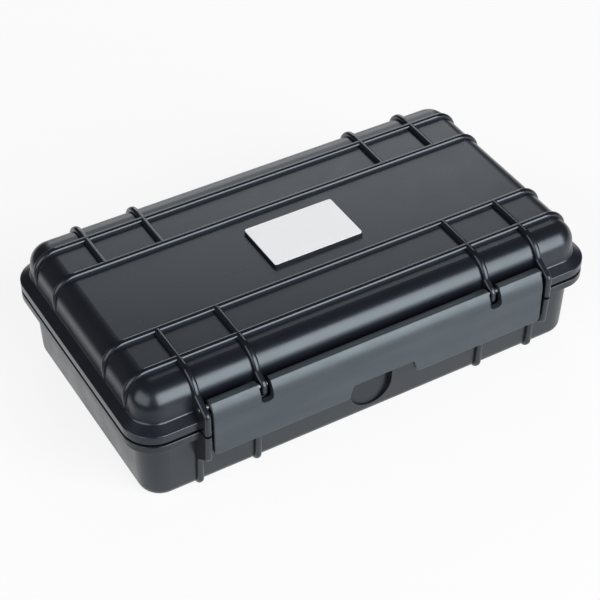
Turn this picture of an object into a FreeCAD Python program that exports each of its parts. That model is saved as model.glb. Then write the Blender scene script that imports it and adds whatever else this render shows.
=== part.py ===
import FreeCAD, Part
import math
import os
import re
import Sketcher

# Waterproof hard case: two moulded halves, one full-width latch, two hinges, a seal, foam and a label plate.
# The origin is on the floor under the middle of the case. The latch is at -Y, the hinges are at +Y.

# Driving dimensions, in millimetres and degrees
SIZES = {
    # The rim where the two halves meet
    "rim_length": 227.8,
    "rim_width": 127.6,
    "rim_corner": 14,
    "rim_edge": 0.5,
    "seam_gap": 1.4,
    # The base
    "base_height": 36.85,
    "base_overhang": 4.6,
    "base_rim_band": 3.85,
    "base_draft": 2.2,
    "base_edge": 4.5,
    "base_inner_edge": 4,
    "floor_thickness": 3,
    # The lid
    "lid_height": 21.9,
    "lid_overhang": 3.9,
    "lid_end_overhang": 3.7,
    "lid_rim_band": 4.05,
    "lid_rim_slope": 4,
    "lid_rim_taper": 58,
    "lid_foot_round": 1,
    "lid_draft": 5,
    "lid_edge": 9.5,
    "roof_thickness": 3,
    # Both halves
    "wall_thickness": 3,
    "wall_corner": 11.5,
    # Ribs
    "rib_width": 3,
    "rib_height": 2,
    "rib_round": 1.28,
    "long_rib_height": 2,
    "long_rib_end_height": 2.6,
    "long_rib_foot_height": 0.15,
    "long_rib_outer": 43.9,
    "long_rib_inner": 24.3,
    "cross_rib_inner": 56.7,
    # Lugs on the ribs
    "lug_width": 3,
    "lug_overhang": 5.4,
    "lug_root_height": 17.6,
    "lug_knee_height": 10.7,
    "lug_knee_round": 2.5,
    "hinge_lug_root_height": 14,
    "hinge_lug_knee_height": 4.5,
    "inner_lug_width": 3,
    "inner_lug_reach": 2.6,
    "inner_lug_top": 1.65,
    "inner_lug_foot": 4.65,
    "inner_lug_round": 1.8,
    "inner_lug_knee_round": 4,
    "base_lug_foot": 17,
    "base_lug_toe": 23,
    "base_lug_lean": 0.8,
    "base_lug_round": 2.5,
    # The latch and its pins
    "latch_length": 163.6,
    "latch_end_gap": 1.1,
    "latch_inset": 0.9,
    "latch_thickness": 2.8,
    "latch_skirt": 12.15,
    "latch_corner": 2,
    "latch_edge": 0.7,
    "latch_lean": 30,
    "latch_lean_height": 5,
    "latch_lean_round": 15,
    "latch_top_round": 0.8,
    "latch_pin_height": 10.8,
    "latch_pin_setback": 4.7,
    "barrel_radius": 2.75,
    "lug_slot_side_gap": 1.4,
    "lug_slot_gap": 1,
    "finger_notch_width": 34,
    "finger_notch_height": 7.3,
    "finger_notch_lean": 1.9,
    "lip_grip": 1.4,
    "lip_clearance": 0.3,
    "lip_thickness": 1.2,
    "lip_root": 3.8,
    "lip_start": 20,
    "lip_end_margin": 6,
    "pin_diameter": 2.5,
    "pin_proud": 0.3,
    "pin_fit": 0.02,
    "pin_running_fit": 0.05,
    # The hinges at the back
    "knuckle_radius": 3.5,
    "hinge_side_gap": 0.5,
    "hinge_round_gap": 0.5,
    "gusset_lean": 30,
    "gusset_foot": 19,
    # The seal between the rims
    "seal_inset": 2,
    "groove_width": 3.4,
    "groove_depth": 3,
    "gasket_height": 1.5,
    "tongue_clearance": 0.4,
    "seal_gap": 0.2,
    # The finger scoop under the latch
    "scoop_width": 21,
    "scoop_bottom": 5.5,
    "scoop_top": 23,
    "scoop_round": 10.2,
    "scoop_depth": 5,
    "scoop_foot_depth": 1.2,
    "scoop_wall": 2,
    # The label plate and its raised seat
    "label_length": 44,
    "label_width": 27.5,
    "label_corner": 1,
    "label_thickness": 0.4,
    "label_seat_height": 1.4,
    "label_seat_margin": 0.3,
    # Foam pads
    "base_foam_height": 8,
    "lid_foam_height": 7,
    "foam_clearance": 0.6,
}

# Two lengths or places closer than this, in millimetres, are the same
SAME = 0.001

# Sizes worked out from the driving dimensions
FORMULAS = {
    "half_rim_length": "rim_length / 2",
    "half_rim_width": "rim_width / 2",
    "lid_bottom": "base_height + seam_gap",
    "lid_top": "lid_bottom + lid_height",
    "cross_rib_outer": "latch_length / 2 + latch_end_gap + lug_width / 2",
    "lug_reach": "half_rim_width + lug_overhang",
    "lug_root": "half_rim_width - lid_overhang - wall_thickness",
    "latch_face": "lug_reach - latch_inset",
    "latch_back": "latch_face - latch_thickness",
    "latch_pin_y": "-(latch_face - latch_pin_setback)",
    "latch_pin_z": "lid_bottom + latch_pin_height",
    "latch_bottom": "base_height - latch_skirt",
    "latch_top": "latch_pin_z + barrel_radius",
    "latch_lean_start": "latch_top - latch_lean_height",
    "latch_head_foot": "latch_lean_start - latch_lean_round",
    "latch_panel_top": "latch_head_foot + latch_thickness",
    "latch_pin_start": "cross_rib_inner - inner_lug_width / 2 - pin_proud",
    "latch_pin_length": "cross_rib_outer + lug_width / 2 + pin_proud - latch_pin_start",
    "lug_slot_width": "inner_lug_width + 2 * lug_slot_side_gap",
    "lug_slot_bottom": "latch_pin_z - inner_lug_foot - lug_slot_gap",
    "lip_top": "base_height - base_rim_band - lip_clearance",
    "lip_tip": "half_rim_width - lip_grip",
    "lip_end": "latch_length / 2 - lip_end_margin",
    "hinge_y": "lug_reach - knuckle_radius",
    "hinge_z": "base_height + seam_gap / 2",
    "hinge_middle": "(cross_rib_outer + cross_rib_inner) / 2",
    "knuckle_length": "cross_rib_outer - cross_rib_inner - lug_width - 2 * hinge_side_gap",
    "hinge_pin_length": "cross_rib_outer - cross_rib_inner + lug_width + 2 * pin_proud",
    "hinge_pin_start": "cross_rib_inner - lug_width / 2 - pin_proud",
    "pin_radius": "pin_diameter / 2",
    "groove_outer": "seal_inset",
    "groove_inner": "seal_inset + groove_width",
    "tongue_outer": "seal_inset + tongue_clearance",
    "tongue_inner": "seal_inset + groove_width - tongue_clearance",
    "tongue_height": "seam_gap + groove_depth - gasket_height - seal_gap",
    "scoop_back": "half_rim_width - base_overhang - scoop_depth",
    "base_foam_inset": "base_overhang + wall_thickness + foam_clearance + base_height * tan(base_draft)",
    "lid_foam_room": "wall_thickness + foam_clearance + lid_height * tan(lid_draft)",
    "lid_inner_edge": "lid_edge - wall_thickness",
}

doc = FreeCAD.newDocument("hard_case")
sheet = doc.addObject("Spreadsheet::Sheet", "sizes")
for row, (alias, number) in enumerate(SIZES.items(), start=1):
    sheet.set(f"A{row}", alias)
    sheet.set(f"B{row}", str(number))
    sheet.setAlias(f"B{row}", alias)
doc.recompute()


def bound(text):
    """The expression for a text written in size names: names become cells, formulas are written out."""
    def cell(match):
        word = match.group()
        if word in SIZES:
            return "sizes." + word
        if word in FORMULAS:
            return "(" + bound(FORMULAS[word]) + ")"
        return word
    return re.sub(r"[a-z_]+", cell, text)


def value(text):
    return float(sheet.evalExpression(bound(text)))


def lid_reach(height):
    """How far the front and rear lid walls stand from the middle, at a height above the lid's lower face."""
    return f"half_rim_width - lid_overhang - ({height}) * tan(lid_draft)"


def lid_end_reach(height):
    """The same for the lid's two end walls."""
    return f"half_rim_length - lid_end_overhang - ({height}) * tan(lid_draft)"


def base_reach(height):
    """How far the drafted front and rear base walls stand from the middle, at a height above the floor."""
    return f"half_rim_width - base_overhang - (base_height - ({height})) * tan(base_draft)"


# Sketches

def sketch_on(body, role, offset="0"):
    """A sketch on one of the body's origin planes, moved along that plane's normal."""
    plane = next(feature for feature in body.Origin.OriginFeatures if feature.Role == role)
    sketch = body.newObject("Sketcher::SketchObject", body.Name + "_sketch")
    sketch.AttachmentSupport = [(plane, "")]
    sketch.MapMode = "FlatFace"
    sketch.setExpression("AttachmentOffset.Base.z", bound(offset))
    return sketch


def hold(sketch, kind, where, text):
    """A dimension of the sketch, bound to the sizes."""
    index = sketch.addConstraint(Sketcher.Constraint(kind, *where, value(text)))
    sketch.setExpression(f"Constraints[{index}]", bound(text))


def hold_point(sketch, geometry, point, across, up):
    hold(sketch, "DistanceX", (-1, 1, geometry, point), across)
    hold(sketch, "DistanceY", (-1, 1, geometry, point), up)


def draw_circle(sketch, across, up, radius):
    middle = FreeCAD.Vector(value(across), value(up), 0)
    circle = sketch.addGeometry(Part.Circle(middle, FreeCAD.Vector(0, 0, 1), value(radius)))
    hold_point(sketch, circle, 3, across, up)
    hold(sketch, "Radius", (circle,), radius)


def round_corner(before, corner, after, radius):
    """Where a rounding leaves the two sides of a corner, and its centre."""
    to_before = (before - corner).normalize()
    to_after = (after - corner).normalize()
    half_angle = to_before.getAngle(to_after) / 2
    leave = radius / math.tan(half_angle)
    middle = corner + (to_before + to_after).normalize() * (radius / math.sin(half_angle))
    return corner + to_before * leave, corner + to_after * leave, middle


def draw_outline(sketch, corners):
    """A closed outline of straight sides. A corner is (across, up), or (across, up, radius) if round."""
    count = len(corners)
    points = [FreeCAD.Vector(value(corner[0]), value(corner[1]), 0) for corner in corners]
    arrive, depart, centres = list(points), list(points), [None] * count
    for i, corner in enumerate(corners):
        if len(corner) == 3:
            rounding = round_corner(points[i - 1], points[i], points[(i + 1) % count], value(corner[2]))
            arrive[i], depart[i], centres[i] = rounding
    sides = []
    for i in range(count):
        sides.append(sketch.addGeometry(Part.LineSegment(depart[i], arrive[(i + 1) % count])))
    for i, corner in enumerate(corners):
        if len(corner) == 2:
            sketch.addConstraint(Sketcher.Constraint("Coincident", sides[i - 1], 2, sides[i], 1))
            hold_point(sketch, sides[i], 1, corner[0], corner[1])
            continue
        first, last = arrive[i] - centres[i], depart[i] - centres[i]
        turns_left = first.cross(last).z > 0
        begin, end = (first, last) if turns_left else (last, first)
        circle = Part.Circle(centres[i], FreeCAD.Vector(0, 0, 1), first.Length)
        angles = math.atan2(begin.y, begin.x), math.atan2(end.y, end.x)
        arc = sketch.addGeometry(Part.ArcOfCircle(circle, *angles))
        arrive_end, depart_end = (1, 2) if turns_left else (2, 1)
        sharp = sketch.addGeometry(Part.Point(points[i]), True)
        sketch.addConstraint([
            Sketcher.Constraint("Tangent", sides[i - 1], 2, arc, arrive_end),
            Sketcher.Constraint("Tangent", arc, depart_end, sides[i], 1),
            Sketcher.Constraint("PointOnObject", sharp, 1, sides[i - 1]),
            Sketcher.Constraint("PointOnObject", sharp, 1, sides[i]),
        ])
        hold_point(sketch, sharp, 1, corner[0], corner[1])
        hold(sketch, "Radius", (arc,), corner[2])


def draw_rounded_box(sketch, half_length, half_width, radius):
    draw_outline(sketch, [
        (half_length, half_width, radius),
        (f"-({half_length})", half_width, radius),
        (f"-({half_length})", f"-({half_width})", radius),
        (half_length, f"-({half_width})", radius),
    ])


# Features

def new_body(name):
    return doc.addObject("PartDesign::Body", name)


def pad(body, sketch, length, taper=None, symmetric=False, reverse=False):
    feature = body.newObject("PartDesign::Pad", body.Name + "_pad")
    feature.Profile = sketch
    feature.SideType = "Symmetric" if symmetric else "One side"
    feature.Reversed = reverse
    feature.setExpression("Length", bound(length))
    if taper:
        feature.setExpression("TaperAngle", bound(taper))
    doc.recompute()
    return feature


def fillet(body, base, radius, wanted):
    """Rounds the edges of the last feature that the test picks."""
    names = [f"Edge{i}" for i, edge in enumerate(base.Shape.Edges, start=1) if wanted(edge)]
    feature = body.newObject("PartDesign::Fillet", body.Name + "_fillet")
    feature.Base = (base, names)
    feature.setExpression("Radius", bound(radius))
    doc.recompute()
    return feature


def near(first, second):
    return abs(first - second) < SAME


def level_edge(height):
    """Picks the edges that lie flat at one height."""
    level = value(height)
    return lambda edge: near(edge.BoundBox.ZMin, level) and near(edge.BoundBox.ZMax, level)


def rounded_box(name, inset, corner, bottom, height, taper=None, reverse=False, end_inset=None):
    """A solid with the rim's outline, drawn in by an inset, which may differ at the two ends."""
    body = new_body(name)
    sketch = sketch_on(body, "XY_Plane", bottom)
    half_length = f"half_rim_length - ({end_inset or inset})"
    draw_rounded_box(sketch, half_length, f"half_rim_width - ({inset})", corner)
    return body, pad(body, sketch, height, taper, reverse=reverse)


def ring(name, outer, inner, bottom, height):
    """A band that follows the rim, between two insets."""
    body = new_body(name)
    sketch = sketch_on(body, "XY_Plane", bottom)
    for inset in (outer, inner):
        draw_rounded_box(
            sketch, f"half_rim_length - ({inset})", f"half_rim_width - ({inset})", f"rim_corner - ({inset})")
    pad(body, sketch, height)
    return body


def plate(name, role, offset, width, corners, plain_sides, rounding="rib_round"):
    """An upright plate with round edges, apart from the sides that end inside another piece."""
    body = new_body(name)
    sketch = sketch_on(body, role, offset)
    draw_outline(sketch, corners)
    base = pad(body, sketch, width, symmetric=True)
    points = [FreeCAD.Vector(value(corner[0]), value(corner[1]), 0) for corner in corners]
    plain = []
    for i in plain_sides:
        plain.append(Part.LineSegment(points[i], points[(i + 1) % len(points)]).toShape())

    def flat(point):
        return FreeCAD.Vector(point.x if role == "XZ_Plane" else point.y, point.z, 0)

    def wanted(edge):
        across = edge.BoundBox.YLength if role == "XZ_Plane" else edge.BoundBox.XLength
        if across > SAME:
            return False
        middle = Part.Vertex(flat(edge.valueAt((edge.FirstParameter + edge.LastParameter) / 2)))
        return all(middle.distToShape(side)[0] > SAME for side in plain)

    fillet(body, base, rounding, wanted)
    return body


def disc(name, offset, width, across, up, radius, rounding=None):
    """A round boss along X."""
    body = new_body(name)
    sketch = sketch_on(body, "YZ_Plane", offset)
    draw_circle(sketch, across, up, radius)
    base = pad(body, sketch, width, symmetric=True)
    if rounding:
        fillet(body, base, rounding, lambda edge: edge.BoundBox.XLength < SAME)
    return body


def rod(name, radius, start, length, across, up):
    """A cylinder along X."""
    cylinder = doc.addObject("Part::Cylinder", name)
    cylinder.Placement = FreeCAD.Placement(FreeCAD.Vector(), FreeCAD.Rotation(FreeCAD.Vector(0, 1, 0), 90))
    cylinder.setExpression("Radius", bound(radius))
    cylinder.setExpression("Height", bound(length))
    for axis, text in (("x", start), ("y", across), ("z", up)):
        cylinder.setExpression(f"Placement.Base.{axis}", bound(text))
    return cylinder


def fuse(name, shapes):
    joined = doc.addObject("Part::MultiFuse", name)
    joined.Shapes = shapes
    joined.Refine = True
    return joined


def cut(name, base, tool):
    piece = doc.addObject("Part::Cut", name)
    piece.Base = base
    piece.Tool = tool
    piece.Refine = True
    return piece


SIDES = (("left", "-"), ("right", ""))


def mirrored_rod(name, radius, start, length, across, up):
    """The same cylinder on the left and on the right."""
    left = rod(name + "_left", radius, f"-({start}) - ({length})", length, across, up)
    right = rod(name + "_right", radius, start, length, across, up)
    return [left, right]


# The base

def base_form():
    body, rim = rounded_box("base_form", "0", "rim_corner", "base_height", "base_rim_band", reverse=True)
    fillet(body, rim, "rim_edge", lambda edge: edge.BoundBox.ZLength < SAME)
    sketch = sketch_on(body, "XY_Plane", "base_height")
    draw_rounded_box(
        sketch, "half_rim_length - base_overhang", "half_rim_width - base_overhang", "wall_corner")
    walls = pad(body, sketch, "base_height", "-base_draft", reverse=True)
    fillet(body, walls, "base_edge", level_edge("0"))
    return body


def base_rib_foot(sign):
    return (f"{sign}({base_reach('0')} + rib_height)", "0", "base_edge")


def base_rib_head(sign):
    return (f"{sign}({base_reach('base_height')} + rib_height)", "base_height - rim_edge")


def base_ribs():
    plates = []
    for side, sign in SIDES:
        plates.append(plate(
            f"base_outer_rib_{side}", "YZ_Plane", f"{sign}cross_rib_outer", "lug_width", [
                base_rib_head(""),
                base_rib_foot(""),
                base_rib_foot("-"),
                (f"-({base_reach('base_lug_foot')} + rib_height)", "base_lug_foot", "base_lug_round"),
                ("-(lug_reach - base_lug_lean)", "base_lug_toe", "base_lug_round"),
                ("-lug_reach", "base_height"),
                ("0", "base_height"),
                ("0", "base_height - rim_edge"),
            ], plain_sides=(1, 5, 6, 7)))
        plates.append(plate(
            f"base_inner_rib_{side}", "YZ_Plane", f"{sign}cross_rib_inner", "rib_width", [
                base_rib_head(""), base_rib_foot(""), base_rib_foot("-"), base_rib_head("-"),
            ], plain_sides=(1, 3)))
    return plates


def base_knuckles():
    pieces = []
    for side, sign in SIDES:
        middle = f"{sign}hinge_middle"
        gusset = new_body(f"base_gusset_{side}")
        sketch = sketch_on(gusset, "YZ_Plane", middle)
        draw_outline(sketch, [
            ("half_rim_width - base_overhang - wall_thickness / 2", "base_height"),
            (f"{base_reach('gusset_foot')} - wall_thickness / 2", "gusset_foot"),
            ("hinge_y + knuckle_radius * cos(gusset_lean)", "hinge_z - knuckle_radius * sin(gusset_lean)"),
            ("hinge_y", "base_height"),
        ])
        pad(gusset, sketch, "knuckle_length", symmetric=True)
        pieces.append(gusset)
        pieces.append(disc(
            f"base_knuckle_{side}", middle, "knuckle_length", "hinge_y", "hinge_z", "knuckle_radius"))
    return pieces


def scoop(name, margin):
    """The form of the finger scoop, grown by a margin: a D that gets shallower towards its foot."""
    outline = new_body(name + "_outline")
    sketch = sketch_on(outline, "XZ_Plane", f"scoop_back - {margin}")
    half_width = f"scoop_width / 2 + {margin}"
    draw_outline(sketch, [
        (half_width, f"scoop_top + {margin}"),
        (f"-({half_width})", f"scoop_top + {margin}"),
        (f"-({half_width})", f"scoop_bottom - {margin}", f"scoop_round + {margin}"),
        (half_width, f"scoop_bottom - {margin}", f"scoop_round + {margin}"),
    ])
    pad(outline, sketch, f"2 * scoop_depth + {margin}")
    ramp = new_body(name + "_ramp")
    sketch = sketch_on(ramp, "YZ_Plane")
    draw_outline(sketch, [
        (f"-(scoop_back - {margin})", f"scoop_top + {margin}"),
        (f"-({base_reach('scoop_bottom')} - scoop_foot_depth - {margin})", f"scoop_bottom - {margin}"),
        (f"-(scoop_back - {margin} - scoop_depth)", f"scoop_bottom - {margin}"),
        (f"-(scoop_back - {margin} - scoop_depth)", f"scoop_top + {margin}"),
    ])
    pad(ramp, sketch, f"2 * ({half_width})", symmetric=True)
    return cut(name, outline, ramp)


def base_cavity():
    body, space = rounded_box(
        "base_space", "base_overhang + wall_thickness", "wall_corner - wall_thickness",
        "base_height + seam_gap", "base_height + seam_gap - floor_thickness", "-base_draft", reverse=True)
    fillet(body, space, "base_inner_edge", level_edge("floor_thickness"))
    return cut("base_cavity", body, scoop("scoop_housing", "scoop_wall"))


def lid_lug_room():
    """Room in the base rim for the lid's four hinge lugs."""
    room = []
    for rib in ("cross_rib_outer", "cross_rib_inner"):
        room += mirrored_rod(
            f"room_{rib}", "knuckle_radius + hinge_round_gap", f"{rib} - lug_width / 2 - hinge_side_gap",
            "lug_width + 2 * hinge_side_gap", "hinge_y", "hinge_z")
    return room


def base_shell():
    tongue = ring(
        "tongue", "tongue_outer", "tongue_inner", "base_height - rim_edge", "tongue_height + rim_edge")
    solid = fuse("base_solid", [base_form(), tongue] + base_ribs())
    carved = cut("base_carved", solid, fuse("base_room", [base_cavity()] + lid_lug_room()))
    hinged = fuse("base_hinged", [carved] + base_knuckles())
    bores = mirrored_rod(
        "base_bore", "pin_radius + pin_fit", "hinge_pin_start", "hinge_pin_length", "hinge_y", "hinge_z")
    return cut("base_shell", hinged, fuse("base_bores", [scoop("scoop_hollow", "0")] + bores))


# The lid

def lid_form():
    body, band = rounded_box("lid_form", "0", "rim_corner", "lid_bottom", "lid_rim_band")
    sketch = sketch_on(body, "XY_Plane", "lid_bottom + lid_rim_band")
    draw_rounded_box(sketch, "half_rim_length", "half_rim_width", "rim_corner")
    rim = pad(body, sketch, "lid_rim_slope", "-lid_rim_taper")
    lower, upper = level_edge("lid_bottom"), level_edge("lid_bottom + lid_rim_band")
    fillet(body, rim, "rim_edge", lambda edge: lower(edge) or upper(edge))
    sketch = sketch_on(body, "XY_Plane", "lid_bottom")
    draw_rounded_box(
        sketch, "half_rim_length - lid_end_overhang", "half_rim_width - lid_overhang", "wall_corner")
    walls = pad(body, sketch, "lid_height", "-lid_draft")
    top = fillet(body, walls, "lid_edge", level_edge("lid_top"))
    low = value("lid_bottom + lid_rim_band + rim_edge")
    high = value("lid_bottom + lid_rim_band + lid_rim_slope")
    fillet(body, top, "lid_foot_round", lambda edge: edge.BoundBox.ZMin > low and edge.BoundBox.ZMax < high)
    return body


def long_ribs():
    """Four ribs along the lid, over both ends and down to the rim."""
    foot = f"{lid_end_reach('lid_rim_band')} + long_rib_foot_height"
    head = f"{lid_end_reach('lid_height + long_rib_height')} + long_rib_end_height"
    corners = [
        (f"-({foot})", "lid_bottom + lid_rim_band"),
        (f"-({head})", "lid_top + long_rib_height", "lid_edge + long_rib_height"),
        (head, "lid_top + long_rib_height", "lid_edge + long_rib_height"),
        (foot, "lid_bottom + lid_rim_band"),
    ]
    plates = []
    for rib in ("long_rib_outer", "long_rib_inner"):
        for side, sign in SIDES:
            plates.append(plate(
                f"{rib}_{side}", "XZ_Plane", f"{sign}{rib}", "rib_width", corners, plain_sides=(3,)))
    return plates


def cross_rib(sign):
    """A crosswise rib from the inner lengthwise rib out over the shoulder and down to the rim."""
    head = f"{lid_reach('lid_height + rib_height')} + rib_height"
    foot = f"{lid_reach('lid_rim_band')} + rib_height"
    return [
        (f"{sign}long_rib_inner", "lid_top + rib_height"),
        (f"{sign}({head})", "lid_top + rib_height", "lid_edge + rib_height"),
        (f"{sign}({foot})", "lid_bottom + lid_rim_band"),
        (f"{sign}long_rib_inner", "lid_bottom + lid_rim_band"),
    ]


def outer_front_lug():
    return [
        ("-lug_root", "lid_bottom + lug_root_height"),
        ("-lug_reach", "lid_bottom + lug_knee_height", "lug_knee_round"),
        ("-lug_reach", "lid_bottom"),
        ("-lug_root", "lid_bottom"),
    ]


def inner_front_lug():
    """A finger around the latch pin, inside the latch's slot."""
    tip = "latch_pin_y - inner_lug_reach"
    return [
        ("-lug_root", "lid_bottom + lug_root_height"),
        (tip, "latch_pin_z + inner_lug_top", "inner_lug_knee_round"),
        (tip, "latch_pin_z - inner_lug_foot", "inner_lug_round"),
        ("-lug_root", "latch_pin_z - inner_lug_foot"),
    ]


def hinge_lug():
    return [
        ("lug_root", "lid_bottom + hinge_lug_root_height"),
        ("lug_reach", "lid_bottom + hinge_lug_knee_height", "lug_knee_round"),
        ("lug_reach", "hinge_z"),
        ("lug_reach - 2 * knuckle_radius", "hinge_z"),
        ("lug_reach - 2 * knuckle_radius", "lid_bottom"),
        ("lug_root", "lid_bottom"),
    ]


def cross_ribs():
    """Crosswise ribs with their lugs: the latch's at the front, the hinges' at the back."""
    pieces = []
    for side, sign in SIDES:
        for place in ("outer", "inner"):
            offset = f"{sign}cross_rib_{place}"
            for end, way in (("front", "-"), ("rear", "")):
                pieces.append(plate(
                    f"{place}_{end}_rib_{side}", "YZ_Plane", offset, "rib_width", cross_rib(way),
                    plain_sides=(2, 3)))
            pieces.append(plate(
                f"{place}_hinge_lug_{side}", "YZ_Plane", offset, "lug_width", hinge_lug(),
                plain_sides=(2, 3, 4, 5)))
            pieces.append(disc(
                f"{place}_hinge_eye_{side}", offset, "lug_width", "hinge_y", "hinge_z", "knuckle_radius",
                "rib_round"))
        pieces.append(plate(
            f"outer_front_lug_{side}", "YZ_Plane", f"{sign}cross_rib_outer", "lug_width", outer_front_lug(),
            plain_sides=(2, 3)))
        pieces.append(plate(
            f"inner_front_lug_{side}", "YZ_Plane", f"{sign}cross_rib_inner", "inner_lug_width",
            inner_front_lug(), plain_sides=(3,)))
    return pieces


def label_seat():
    body = new_body("label_seat")
    sketch = sketch_on(body, "XY_Plane", "lid_top - roof_thickness / 2")
    draw_rounded_box(
        sketch, "label_length / 2 + label_seat_margin", "label_width / 2 + label_seat_margin",
        "label_corner + label_seat_margin")
    pad(body, sketch, "roof_thickness / 2 + label_seat_height")
    return body


def lid_cavity():
    body, space = rounded_box(
        "lid_cavity", "lid_overhang + wall_thickness", "wall_corner - wall_thickness",
        "lid_bottom", "lid_height - roof_thickness", "-lid_draft",
        end_inset="lid_end_overhang + wall_thickness")
    fillet(body, space, "lid_inner_edge", level_edge("lid_top - roof_thickness"))
    return body


def lid_shell():
    solid = fuse("lid_solid", [lid_form(), label_seat()] + long_ribs() + cross_ribs())
    groove = ring("groove", "groove_outer", "groove_inner", "lid_bottom", "groove_depth")
    knuckle_room = mirrored_rod(
        "knuckle_room", "knuckle_radius + hinge_round_gap",
        "hinge_middle - knuckle_length / 2 - hinge_side_gap / 2", "knuckle_length + hinge_side_gap",
        "hinge_y", "hinge_z")
    hinge_bores = mirrored_rod(
        "lid_bore", "pin_radius + pin_running_fit", "hinge_pin_start", "hinge_pin_length",
        "hinge_y", "hinge_z")
    latch_bores = mirrored_rod(
        "lug_bore", "pin_radius + pin_fit", "latch_pin_start", "latch_pin_length",
        "latch_pin_y", "latch_pin_z")
    room = fuse("lid_room", [lid_cavity(), groove] + knuckle_room + hinge_bores + latch_bores)
    return cut("lid_shell", solid, room)


# The latch

def latch_panel():
    """The flat front of the latch, with the finger notch in its lower edge."""
    body = new_body("latch_panel")
    sketch = sketch_on(body, "XZ_Plane", "latch_back")
    notch = "finger_notch_width / 2"
    notch_top = "latch_bottom + finger_notch_height"
    draw_outline(sketch, [
        ("latch_length / 2", "latch_panel_top"),
        ("-latch_length / 2", "latch_panel_top"),
        ("-latch_length / 2", "latch_bottom", "latch_corner"),
        (f"-{notch}", "latch_bottom", "latch_corner"),
        (f"-({notch} - finger_notch_lean)", notch_top, "latch_corner"),
        (f"{notch} - finger_notch_lean", notch_top, "latch_corner"),
        (notch, "latch_bottom", "latch_corner"),
        ("latch_length / 2", "latch_bottom", "latch_corner"),
    ])
    base = pad(body, sketch, "latch_thickness")
    top = level_edge("latch_panel_top")
    fillet(body, base, "latch_edge", lambda edge: edge.BoundBox.YLength < SAME and not top(edge))
    return body


def latch_head():
    """The latch's upper part, which bends back over the pin in one soft curve."""
    return plate("latch_head", "YZ_Plane", "0", "latch_length", [
        ("-latch_face", "latch_head_foot"),
        ("-latch_face", "latch_lean_start", "latch_lean_round"),
        ("-(latch_face - latch_lean_height * tan(latch_lean))", "latch_top", "latch_top_round"),
        ("latch_pin_y", "latch_top"),
        ("latch_pin_y", "latch_pin_z"),
        ("-latch_back", "latch_pin_z - latch_pin_setback"),
        ("-latch_back", "latch_head_foot"),
    ], plain_sides=(3, 4, 5, 6), rounding="latch_edge")


def latch_lip(side, sign):
    """The lip that hooks under the base rim."""
    body = new_body(f"latch_lip_{side}")
    sketch = sketch_on(body, "YZ_Plane", f"{sign}(lip_start + lip_end) / 2")
    root = "-(latch_back + latch_thickness / 2)"
    draw_outline(sketch, [
        (root, "lip_top"),
        (root, "lip_top - lip_root"),
        ("-lip_tip", "lip_top - lip_thickness"),
        ("-lip_tip", "lip_top"),
    ])
    pad(body, sketch, "lip_end - lip_start", symmetric=True)
    return body


def lug_slot(side, sign):
    """The slot in the latch's upper edge around one inner lug."""
    body = new_body(f"lug_slot_{side}")
    sketch = sketch_on(body, "XZ_Plane", "-latch_pin_y")
    middle = f"{sign}cross_rib_inner"
    top = "latch_pin_z + 2 * barrel_radius"
    draw_outline(sketch, [
        (f"{middle} - lug_slot_width / 2", top),
        (f"{middle} - lug_slot_width / 2", "lug_slot_bottom", "latch_corner"),
        (f"{middle} + lug_slot_width / 2", "lug_slot_bottom", "latch_corner"),
        (f"{middle} + lug_slot_width / 2", top),
    ])
    pad(body, sketch, "4 * barrel_radius", symmetric=True)
    return body


def latch_bar():
    barrel = disc(
        "latch_barrel", "0", "latch_length", "latch_pin_y", "latch_pin_z", "barrel_radius", "latch_edge")
    lips = [latch_lip(side, sign) for side, sign in SIDES]
    solid = fuse("latch_solid", [latch_panel(), latch_head(), barrel] + lips)
    slots = [lug_slot(side, sign) for side, sign in SIDES]
    bores = mirrored_rod(
        "latch_bore", "pin_radius + pin_running_fit", "latch_pin_start", "latch_pin_length",
        "latch_pin_y", "latch_pin_z")
    return cut("latch_bar", solid, fuse("latch_room", slots + bores))


# Pins, seal, label and foam

def latch_pins():
    return mirrored_rod(
        "latch_pin", "pin_radius", "latch_pin_start", "latch_pin_length", "latch_pin_y", "latch_pin_z")


def hinge_pins():
    return mirrored_rod(
        "hinge_pin", "pin_radius", "hinge_pin_start", "hinge_pin_length", "hinge_y", "hinge_z")


def lid_gasket():
    bottom = "lid_bottom + groove_depth - gasket_height"
    return ring("lid_gasket", "groove_outer", "groove_inner", bottom, "gasket_height")


def label_plate():
    body = new_body("label_plate")
    sketch = sketch_on(body, "XY_Plane", "lid_top + label_seat_height")
    draw_rounded_box(sketch, "label_length / 2", "label_width / 2", "label_corner")
    pad(body, sketch, "label_thickness")
    return body


def base_foam():
    body, block = rounded_box(
        "base_foam_block", "base_foam_inset", "wall_corner - wall_thickness",
        "floor_thickness", "base_foam_height")
    fillet(body, block, "base_inner_edge", level_edge("floor_thickness"))
    return cut("base_foam", body, scoop("foam_scoop_room", "(scoop_wall + foam_clearance)"))


def lid_foam():
    bottom = "lid_top - roof_thickness - lid_foam_height"
    body, block = rounded_box(
        "lid_foam", "lid_overhang + lid_foam_room", "wall_corner - wall_thickness", bottom, "lid_foam_height",
        end_inset="lid_end_overhang + lid_foam_room")
    fillet(body, block, "lid_inner_edge", level_edge("lid_top - roof_thickness"))
    return body


pieces = [base_shell(), lid_shell(), latch_bar(), lid_gasket(), label_plate(), base_foam(), lid_foam()]
pieces += latch_pins() + hinge_pins()
doc.recompute()

# Nothing is written unless every object is sound and each piece is one solid
for item in doc.Objects:
    if {"Invalid", "Error"} & set(item.State):
        raise RuntimeError(f"{item.Name} failed: {item.State}")
for piece in pieces:
    if piece.Shape.isNull() or not piece.Shape.isValid():
        raise RuntimeError(f"{piece.Label} has no valid shape")
    if len(piece.Shape.Solids) != 1:
        raise RuntimeError(f"{piece.Label} is {len(piece.Shape.Solids)} solids")

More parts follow.
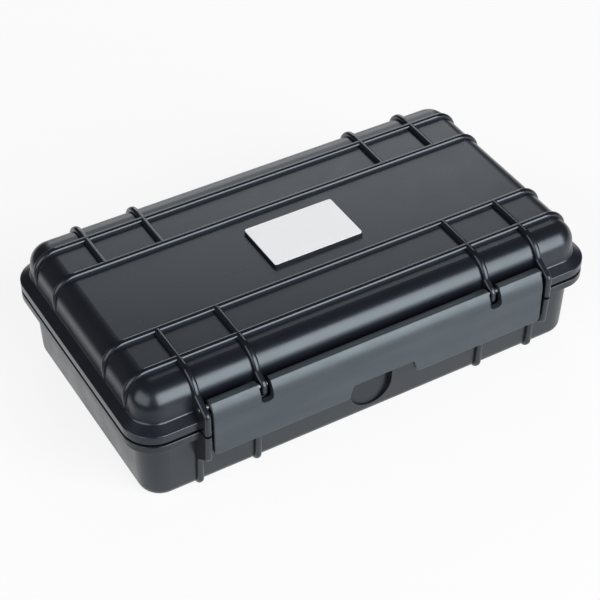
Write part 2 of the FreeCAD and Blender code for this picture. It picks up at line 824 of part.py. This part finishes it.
os.makedirs("parts", exist_ok=True)
for piece in pieces:
    piece.Shape.exportStep(os.path.join("parts", piece.Label + ".step"))
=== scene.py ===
import math

import bmesh
import bpy
from mathutils import Matrix, Vector


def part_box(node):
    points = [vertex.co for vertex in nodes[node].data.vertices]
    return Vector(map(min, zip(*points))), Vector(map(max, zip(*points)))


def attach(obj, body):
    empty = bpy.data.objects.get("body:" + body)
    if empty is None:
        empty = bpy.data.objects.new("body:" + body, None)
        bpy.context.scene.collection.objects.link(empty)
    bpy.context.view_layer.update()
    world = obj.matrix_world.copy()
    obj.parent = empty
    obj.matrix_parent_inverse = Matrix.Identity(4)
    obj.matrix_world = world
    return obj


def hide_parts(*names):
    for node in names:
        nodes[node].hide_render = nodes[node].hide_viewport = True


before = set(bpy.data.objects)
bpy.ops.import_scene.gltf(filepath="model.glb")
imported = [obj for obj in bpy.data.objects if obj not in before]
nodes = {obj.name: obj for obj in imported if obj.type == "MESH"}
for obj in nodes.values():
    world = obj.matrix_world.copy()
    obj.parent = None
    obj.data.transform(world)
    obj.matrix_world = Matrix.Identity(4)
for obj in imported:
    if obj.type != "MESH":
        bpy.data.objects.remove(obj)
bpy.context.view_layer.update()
scene = bpy.context.scene
scene.view_settings.view_transform = "Standard"

MM = 0.001

# Camera: where the photograph was taken from, worked out from the case's own edges
CAMERA_AZIMUTH = math.radians(-30.37)
CAMERA_ELEVATION = math.radians(41.25)
CAMERA_DISTANCE = 753.4 * MM
CAMERA_TARGET = Vector((0, 0, 62.3 * MM))
CAMERA_RIGHT = -1.44 * MM
CAMERA_UP = -30.6 * MM
SENSOR_WIDTH = 36.0
FOCAL_LENGTH = 103.1


# Node helpers

def new_material(name):
    material = bpy.data.materials.new(name)
    material.use_nodes = True
    tree = material.node_tree
    shader = tree.nodes["Principled BSDF"]
    return material, tree, shader


def object_coordinates(tree):
    return tree.nodes.new("ShaderNodeTexCoord").outputs["Object"]


def stretched(tree, vector, share):
    """Coordinates that run slower along the case, so that the marks drawn on them are long."""
    node = tree.nodes.new("ShaderNodeMapping")
    node.inputs["Scale"].default_value = (share, 1, 1)
    tree.links.new(vector, node.inputs["Vector"])
    return node.outputs["Vector"]


def height_of(tree, vector):
    node = tree.nodes.new("ShaderNodeSeparateXYZ")
    tree.links.new(vector, node.inputs["Vector"])
    return node.outputs["Z"]


def noise(tree, vector, size, detail=2.0):
    """Noise whose blotches are about as wide as size, in metres."""
    node = tree.nodes.new("ShaderNodeTexNoise")
    node.inputs["Scale"].default_value = 1 / size
    node.inputs["Detail"].default_value = detail
    tree.links.new(vector, node.inputs["Vector"])
    return node.outputs["Fac"]


def cells(tree, vector, size):
    node = tree.nodes.new("ShaderNodeTexVoronoi")
    node.inputs["Scale"].default_value = 1 / size
    tree.links.new(vector, node.inputs["Vector"])
    return node.outputs["Distance"]


def ramp(tree, value, low, high, from_low=0.0, from_high=1.0):
    node = tree.nodes.new("ShaderNodeMapRange")
    node.inputs["From Min"].default_value = from_low
    node.inputs["From Max"].default_value = from_high
    node.inputs["To Min"].default_value = low
    node.inputs["To Max"].default_value = high
    tree.links.new(value, node.inputs["Value"])
    return node.outputs["Result"]


def times(tree, first, second):
    node = tree.nodes.new("ShaderNodeMath")
    node.operation = "MULTIPLY"
    tree.links.new(first, node.inputs[0])
    tree.links.new(second, node.inputs[1])
    return node.outputs["Value"]


def mix_colours(tree, factor, first, second):
    node = tree.nodes.new("ShaderNodeMix")
    node.data_type = "RGBA"
    node.inputs["A"].default_value = (*first, 1)
    node.inputs["B"].default_value = (*second, 1)
    tree.links.new(factor, node.inputs["Factor"])
    return node.outputs["Result"]


def bump(tree, height, strength, distance, normal=None):
    node = tree.nodes.new("ShaderNodeBump")
    node.inputs["Strength"].default_value = strength
    node.inputs["Distance"].default_value = distance
    tree.links.new(height, node.inputs["Height"])
    if normal:
        tree.links.new(normal, node.inputs["Normal"])
    return node.outputs["Normal"]


def connect(tree, shader, colour, roughness, normal):
    tree.links.new(colour, shader.inputs["Base Color"])
    tree.links.new(roughness, shader.inputs["Roughness"])
    tree.links.new(normal, shader.inputs["Normal"])


# Moulded plastic

# The plastic flows along the case in its mould, so its cloudy marks are longer that way
FLOW_STRETCH = 0.2
CLOUD_WIDTH = 7 * MM
SMEAR_WIDTH = 12 * MM
# Most of the noise lies between these two values
SMEAR_LOW = 0.3
SMEAR_HIGH = 0.7
GRAIN_WIDTH = 0.4 * MM
GRAIN_DEPTH = 0.03 * MM
WAVE_WIDTH = 30 * MM
WAVE_DEPTH = 0.6 * MM
WAVE_STRENGTH = 0.02
PLASTIC_INDEX = 1.6
PLASTIC_TINT = (0.8, 0.91, 1, 1)
# The tops of the long ribs are rubbed smoother than the rest
RIB_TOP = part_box("lid_shell")[1].z
RUBBED_BAND = 0.6 * MM
RUBBED_SHARE = 0.45


def moulded_plastic(name, dark, light, smooth, rough, grain):
    """Satin black plastic with the fine spark-eroded grain of its mould."""
    material, tree, shader = new_material(name)
    place = object_coordinates(tree)
    clouds = noise(tree, stretched(tree, place, FLOW_STRETCH), CLOUD_WIDTH, detail=4)
    smears = noise(tree, place, SMEAR_WIDTH)
    satin = ramp(tree, smears, smooth, rough, SMEAR_LOW, SMEAR_HIGH)
    rubbed = ramp(
        tree, height_of(tree, place), 1, RUBBED_SHARE, RIB_TOP - 2 * RUBBED_BAND, RIB_TOP - RUBBED_BAND)
    fine = bump(tree, noise(tree, place, GRAIN_WIDTH), grain, GRAIN_DEPTH)
    wavy = bump(tree, noise(tree, place, WAVE_WIDTH, detail=1), WAVE_STRENGTH, WAVE_DEPTH, fine)
    connect(tree, shader, mix_colours(tree, clouds, dark, light), times(tree, satin, rubbed), wavy)
    shader.inputs["IOR"].default_value = PLASTIC_INDEX
    shader.inputs["Specular Tint"].default_value = PLASTIC_TINT
    return material


def lid_plastic():
    dark = (0.0055, 0.0065, 0.0105)
    light = (0.0085, 0.0095, 0.0145)
    return moulded_plastic("lid_plastic", dark, light, smooth=0.27, rough=0.31, grain=0.12)


def base_plastic():
    dark = (0.006, 0.0065, 0.009)
    light = (0.009, 0.0095, 0.012)
    return moulded_plastic("base_plastic", dark, light, smooth=0.28, rough=0.36, grain=0.2)


def latch_plastic():
    dark = (0.016, 0.022, 0.027)
    light = (0.04, 0.048, 0.055)
    return moulded_plastic("latch_plastic", dark, light, smooth=0.32, rough=0.4, grain=0.2)


# Other materials

def drawn_steel():
    """Grey steel with fine lines along the pin from drawing."""
    dark = (0.17, 0.175, 0.185)
    light = (0.25, 0.255, 0.265)
    line_stretch = 0.05
    line_width = 0.15 * MM
    line_depth = 0.01 * MM
    material, tree, shader = new_material("drawn_steel")
    place = stretched(tree, object_coordinates(tree), line_stretch)
    lines = noise(tree, place, line_width, detail=3)
    colour = mix_colours(tree, lines, dark, light)
    connect(tree, shader, colour, ramp(tree, lines, 0.38, 0.55), bump(tree, lines, 0.1, line_depth))
    shader.inputs["Metallic"].default_value = 1.0
    return material


def seal_rubber():
    """Matt black rubber with a cloudy bloom."""
    dark = (0.028, 0.028, 0.03)
    light = (0.05, 0.05, 0.052)
    bloom_width = 6 * MM
    skin_width = 0.4 * MM
    skin_depth = 0.03 * MM
    material, tree, shader = new_material("seal_rubber")
    place = object_coordinates(tree)
    bloom = noise(tree, place, bloom_width, detail=5)
    skin = bump(tree, noise(tree, place, skin_width), 0.2, skin_depth)
    connect(tree, shader, mix_colours(tree, bloom, dark, light), ramp(tree, bloom, 0.6, 0.85), skin)
    return material


def white_label():
    """Satin white plastic with a slightly uneven tone."""
    dark = (0.86, 0.87, 0.89)
    light = (0.9, 0.905, 0.92)
    tone_width = 7 * MM
    skin_width = 0.25 * MM
    skin_depth = 0.01 * MM
    material, tree, shader = new_material("white_label")
    place = object_coordinates(tree)
    tone = noise(tree, place, tone_width, detail=3)
    skin = bump(tree, noise(tree, place, skin_width), 0.05, skin_depth)
    connect(tree, shader, mix_colours(tree, tone, dark, light), ramp(tree, tone, 0.3, 0.42), skin)
    return material


def open_foam():
    """Dark foam with open pores."""
    dark = (0.012, 0.012, 0.013)
    light = (0.05, 0.05, 0.054)
    pore_width = 0.9 * MM
    pore_depth = 0.3 * MM
    fuzz_width = 0.5 * MM
    material, tree, shader = new_material("open_foam")
    place = object_coordinates(tree)
    pores = cells(tree, place, pore_width)
    fuzz = noise(tree, place, fuzz_width, detail=6)
    colour = mix_colours(tree, pores, dark, light)
    connect(tree, shader, colour, ramp(tree, fuzz, 0.85, 1.0), bump(tree, pores, 0.6, pore_depth))
    shader.inputs["Sheen Weight"].default_value = 0.15
    return material


def paint(node, material):
    mesh = nodes[node].data
    mesh.materials.clear()
    mesh.materials.append(material)


paint("lid_shell", lid_plastic())
paint("base_shell", base_plastic())
paint("latch_bar", latch_plastic())
paint("lid_gasket", seal_rubber())
paint("label_plate", white_label())
steel = drawn_steel()
for pin in ("latch_pin_left", "latch_pin_right", "hinge_pin_left", "hinge_pin_right"):
    paint(pin, steel)


# Foam pads

FOAM_CORNER = 8.5 * MM
FOAM_STEP = 1.75 * MM
LID_FOAM_ROUND = 6.5 * MM
BASE_FOAM_ROUND = 4 * MM
# The round edge at a pad's back is bent in these steps, in degrees
ROUND_STEPS = (0, 45, 90)
EGG_PITCH = 14 * MM
EGG_RISE = 4.2 * MM
EGG_EDGE = 5 * MM
SLIT_PITCH = 13 * MM
SLIT_HALF = 0.3 * MM
SLIT_DEPTH = 2 * MM
CUBE_CROWN = 0.35 * MM
foam = open_foam()


def spread(low, high, step):
    """Evenly spaced places from low to high, about a step apart."""
    count = max(2, round((high - low) / step) + 1)
    return [low + (high - low) * i / (count - 1) for i in range(count)]


def into_round_corner(x, y, half_length, half_width, radius):
    """Moves a point that lies outside a round corner onto its arc."""
    over_x = abs(x) - (half_length - radius)
    over_y = abs(y) - (half_width - radius)
    if over_x <= 0 or over_y <= 0:
        return x, y
    shrink = min(1, radius / math.hypot(over_x, over_y))
    return (math.copysign(half_length - radius + over_x * shrink, x),
            math.copysign(half_width - radius + over_y * shrink, y))


def nothing(x, y):
    return False


def pad_mesh(name, columns, rows, place, height, back, rounding, left_out=nothing):
    """A closed pad: a grid with a height of its own, walls round it, a round edge and a flat back."""
    form = bmesh.new()
    grid = [[form.verts.new((*place(x, y), height(x, y))) for x in columns] for y in rows]
    for j in range(len(rows) - 1):
        for i in range(len(columns) - 1):
            if not left_out((columns[i] + columns[i + 1]) / 2, (rows[j] + rows[j + 1]) / 2):
                form.faces.new((grid[j][i], grid[j][i + 1], grid[j + 1][i + 1], grid[j + 1][i]))
    bmesh.ops.delete(form, geom=[v for v in form.verts if not v.link_faces], context="VERTS")
    border = [edge for edge in form.edges if edge.is_boundary]
    upwards = math.copysign(1, grid[0][0].co.z - back)
    inset = 0
    for angle in ROUND_STEPS:
        rise = rounding * (1 - math.sin(math.radians(angle)))
        step = rounding * (1 - math.cos(math.radians(angle))) - inset
        inset += step
        wall = bmesh.ops.extrude_edge_only(form, edges=border)["geom"]
        for v in (part for part in wall if isinstance(part, bmesh.types.BMVert)):
            v.co.x -= math.copysign(step, v.co.x) * abs(v.co.x) / columns[-1]
            v.co.y -= math.copysign(step, v.co.y) * abs(v.co.y) / rows[-1]
            v.co.z = back + upwards * rise
        border = [part for part in wall if isinstance(part, bmesh.types.BMEdge) and part.is_boundary]
    bmesh.ops.contextual_create(form, geom=border)
    bmesh.ops.recalc_face_normals(form, faces=form.faces)
    mesh = bpy.data.meshes.new(name)
    form.to_mesh(mesh)
    form.free()
    piece = bpy.data.objects.new(name, mesh)
    scene.collection.objects.link(piece)
    return piece


def foam_piece(name, node, body, *form):
    piece = pad_mesh(name, *form)
    piece.data.materials.append(foam)
    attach(piece, body)
    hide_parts(node)
    return piece


def lid_foam():
    """Egg-crate foam under the lid, with its peaks downwards."""
    low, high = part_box("lid_foam")
    half_length, half_width = high.x, high.y
    columns = spread(low.x, high.x, FOAM_STEP)
    rows = spread(low.y, high.y, FOAM_STEP)

    def height(x, y):
        edge = min(half_length - abs(x), half_width - abs(y))
        fade = min(1, max(0, edge / EGG_EDGE))
        wave = math.cos(2 * math.pi * x / EGG_PITCH) * math.cos(2 * math.pi * y / EGG_PITCH)
        return low.z + EGG_RISE * fade * (0.5 - 0.5 * wave)

    def place(x, y):
        return into_round_corner(x, y, half_length, half_width, FOAM_CORNER)

    piece = foam_piece(
        "lid_foam_pad", "lid_foam", "lid", columns, rows, place, height, high.z, LID_FOAM_ROUND)
    for polygon in piece.data.polygons:
        polygon.use_smooth = True


def slit_lines(half):
    """Grid lines, each with its drop, that make narrow slits between the cubes of pluck foam."""
    count = round(2 * half / SLIT_PITCH)
    pitch = 2 * half / count
    lines = [(-half, -CUBE_CROWN)]
    for i in range(count):
        start = -half + i * pitch
        lines.append((start + pitch / 2, 0))
        if i < count - 1:
            end = start + pitch
            lines += [(end - SLIT_HALF, -CUBE_CROWN), (end, -SLIT_DEPTH), (end + SLIT_HALF, -CUBE_CROWN)]
    lines.append((half, -CUBE_CROWN))
    return lines


def base_foam():
    """Pluck foam on the floor of the base, cut into cubes. The two at the finger scoop are left out."""
    low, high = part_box("base_foam")
    half_length, half_width = high.x, high.y
    drop_x = dict(slit_lines(half_length))
    drop_y = dict(slit_lines(half_width))

    def height(x, y):
        return high.z + min(drop_x[x], drop_y[y])

    def place(x, y):
        return into_round_corner(x, y, half_length, half_width, FOAM_CORNER)

    def at_scoop(x, y):
        return abs(x) < SLIT_PITCH and y < SLIT_PITCH - half_width

    foam_piece(
        "base_foam_pad", "base_foam", "base", list(drop_x), list(drop_y), place, height, low.z,
        BASE_FOAM_ROUND, at_scoop)


lid_foam()
base_foam()


# Floor, light and camera

FLOOR_WIDTH = 8
FLOOR_COLOUR = (0.93, 0.93, 0.93, 1)
FLOOR_ROUGHNESS = 0.9
# How far the camera sees the floor moved towards white
FLOOR_LIFT = 0.85
# Reflections see a round white sheet on the floor.
# It reaches from behind the case to just past its left end
SHEET_CENTRE = (0.7, 0.35, 0)
SHEET_NEAR = 0.9
SHEET_FAR = 1.05
SKY_COLOUR = (0.08, 0.08, 0.085, 1)
LAMP_TARGET = Vector((0, 0, 40 * MM))


def white(tree):
    emission = tree.nodes.new("ShaderNodeEmission")
    emission.inputs["Color"].default_value = (1, 1, 1, 1)
    return emission.outputs["Emission"]


def distance(tree, centre):
    node = tree.nodes.new("ShaderNodeVectorMath")
    node.operation = "DISTANCE"
    tree.links.new(object_coordinates(tree), node.inputs[0])
    node.inputs[1].default_value = centre
    return node.outputs["Value"]


def mix_shaders(tree, factor, first, second):
    node = tree.nodes.new("ShaderNodeMixShader")
    tree.links.new(factor, node.inputs["Fac"])
    tree.links.new(first, node.inputs[1])
    tree.links.new(second, node.inputs[2])
    return node.outputs["Shader"]


def floor():
    """A pale floor. The camera sees it paler, so its shadow is faint, and reflections see the sheet."""
    bpy.ops.mesh.primitive_plane_add(size=FLOOR_WIDTH, location=(0, 0, 0))
    plane = bpy.context.object
    plane.name = "floor"
    material, tree, shader = new_material("pale_floor")
    shader.inputs["Base Color"].default_value = FLOOR_COLOUR
    shader.inputs["Roughness"].default_value = FLOOR_ROUGHNESS
    ray = tree.nodes.new("ShaderNodeLightPath").outputs
    lift = ramp(tree, ray["Is Camera Ray"], 0, FLOOR_LIFT)
    surface = mix_shaders(tree, lift, shader.outputs["BSDF"], white(tree))
    bright = white(tree)
    near = ramp(tree, distance(tree, SHEET_CENTRE), 1, 0, SHEET_NEAR, SHEET_FAR)
    tree.links.new(near, bright.node.inputs["Strength"])
    for kind in ("Is Glossy Ray", "Is Transmission Ray"):
        surface = mix_shaders(tree, ray[kind], surface, bright)
    tree.links.new(surface, tree.nodes["Material Output"].inputs["Surface"])
    plane.data.materials.append(material)


def softbox(name, direction, away_by, width, height, brightness):
    """A soft lamp that faces the case from a direction, with the brightness of its surface."""
    lamp = bpy.data.lights.new(name, "AREA")
    lamp.shape = "RECTANGLE"
    lamp.size = width
    lamp.size_y = height
    lamp.energy = brightness * math.pi * width * height
    box = bpy.data.objects.new(name, lamp)
    away = Vector(direction).normalized()
    box.location = LAMP_TARGET + away * away_by
    box.rotation_euler = away.to_track_quat("Z", "Y").to_euler()
    scene.collection.objects.link(box)


def sky():
    world = bpy.data.worlds.new("studio")
    world.use_nodes = True
    world.node_tree.nodes["Background"].inputs["Color"].default_value = SKY_COLOUR
    scene.world = world


def camera():
    data = bpy.data.cameras.new("photo_camera")
    data.sensor_width = SENSOR_WIDTH
    data.lens = FOCAL_LENGTH
    right = Vector((math.cos(CAMERA_AZIMUTH), math.sin(CAMERA_AZIMUTH), 0))
    back = Vector((
        math.sin(CAMERA_AZIMUTH) * math.cos(CAMERA_ELEVATION),
        -math.cos(CAMERA_AZIMUTH) * math.cos(CAMERA_ELEVATION),
        math.sin(CAMERA_ELEVATION)))
    up = back.cross(right)
    eye = CAMERA_TARGET + back * CAMERA_DISTANCE + right * CAMERA_RIGHT + up * CAMERA_UP
    pose = Matrix((right, up, back)).transposed().to_4x4()
    pose.translation = eye
    view = bpy.data.objects.new("photo_camera", data)
    view.matrix_world = pose
    scene.collection.objects.link(view)
    scene.camera = view


floor()
sky()
softbox("front_softbox", (0.29, -0.84, 0.39), away_by=2.2, width=1.8, height=2.1, brightness=6.4)
softbox("left_softbox", (-0.92, -0.18, 0.36), away_by=2.2, width=2.7, height=2.0, brightness=2.3)
softbox("back_softbox", (0.42, 0.81, 0.38), away_by=2.4, width=1.4, height=1.5, brightness=2.1)
camera()
